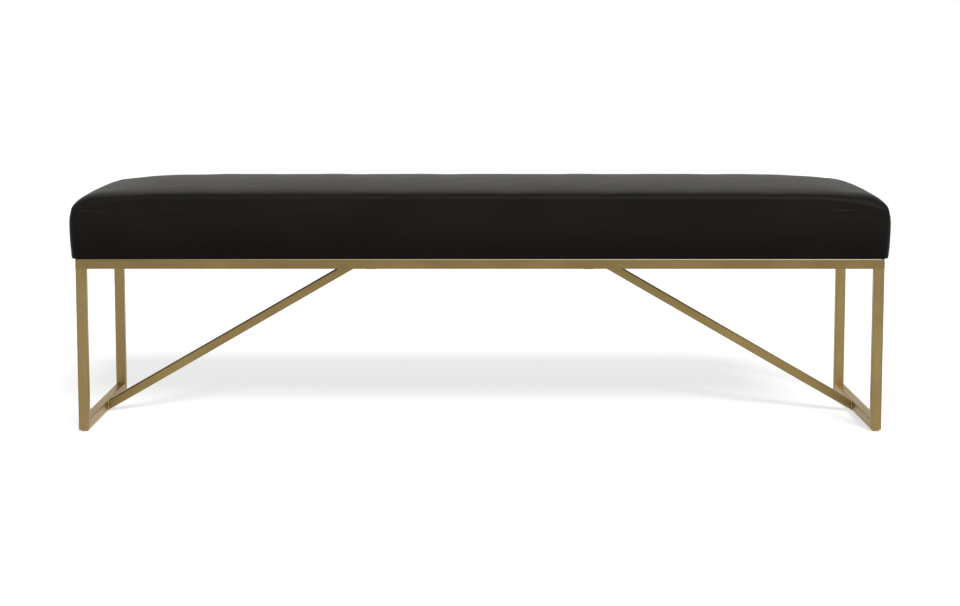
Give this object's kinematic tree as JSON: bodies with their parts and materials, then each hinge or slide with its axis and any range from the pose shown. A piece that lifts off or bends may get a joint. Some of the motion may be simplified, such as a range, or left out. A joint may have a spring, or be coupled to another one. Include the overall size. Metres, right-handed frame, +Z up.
{
  "type": "bench",
  "caption": "Long backless bench: a crowned leather seat on an open square-tube frame with end loops, diagonal braces and levelling feet.",
  "frame": {"origin": "on the floor, under the middle of the bench", "axes": "+X along the bench's length, +Y from the front to the back, +Z up"},
  "size_m": [1.529, 0.457, 0.4609],
  "materials": {
    "brass_tube": "brushed antique brass plating on steel tube",
    "tab_steel": "antique brass plating on flat steel",
    "bush_steel": "plain turned steel",
    "foot_metal": "antique brass plating on turned steel",
    "foot_nylon": "dark nylon",
    "deck_plywood": "unfinished plywood",
    "nut_steel": "zinc plated steel",
    "screw_steel": "black zinc plated steel",
    "washer_steel": "black zinc plated steel",
    "cover_leather": "near-black smooth leather, soft sheen",
    "seat_wadding": "white polyester wadding",
    "seat_foam": "cream polyurethane foam",
    "dust_cloth": "black nonwoven cloth",
    "cover_staple_wire": "galvanised staple wire",
    "dust_staple_wire": "galvanised staple wire"
  },
  "bodies": {
    "bench": {"top_rail_front": "brass_tube", "top_rail_back": "brass_tube", "top_rail_left": "brass_tube", "top_rail_right": "brass_tube", "cross_rail_left": "brass_tube", "cross_rail_right": "brass_tube", "leg_front_left": "brass_tube", "leg_front_right": "brass_tube", "leg_back_left": "brass_tube", "leg_back_right": "brass_tube", "floor_rail_left": "brass_tube", "floor_rail_right": "brass_tube", "brace_left": "brass_tube", "brace_right": "brass_tube", "seat_tabs": "tab_steel", "leg_bushes": "bush_steel", "seat_deck": "deck_plywood", "tee_nuts": "nut_steel", "seat_screws": "screw_steel", "seat_washers": "washer_steel", "seat_cover": "cover_leather", "wadding": "seat_wadding", "foam_core": "seat_foam", "dust_cover": "dust_cloth", "cover_staples": "cover_staple_wire", "dust_staples": "dust_staple_wire"},
    "foot_front_left": {"foot_base_front_left": "foot_metal", "foot_pad_front_left": "foot_nylon"},
    "foot_front_right": {"foot_base_front_right": "foot_metal", "foot_pad_front_right": "foot_nylon"},
    "foot_back_left": {"foot_base_back_left": "foot_metal", "foot_pad_back_left": "foot_nylon"},
    "foot_back_right": {"foot_base_back_right": "foot_metal", "foot_pad_back_right": "foot_nylon"}
  },
  "joints": [
    {"name": "raise_front_left", "type": "slide", "parent": "bench", "child": "foot_front_left", "axis": [0, 0, -1], "range_m": [0, 0.01]},
    {"name": "raise_front_right", "type": "slide", "parent": "bench", "child": "foot_front_right", "axis": [0, 0, -1], "range_m": [0, 0.01]},
    {"name": "raise_back_left", "type": "slide", "parent": "bench", "child": "foot_back_left", "axis": [0, 0, -1], "range_m": [0, 0.01]},
    {"name": "raise_back_right", "type": "slide", "parent": "bench", "child": "foot_back_right", "axis": [0, 0, -1], "range_m": [0, 0.01]}
  ]
}
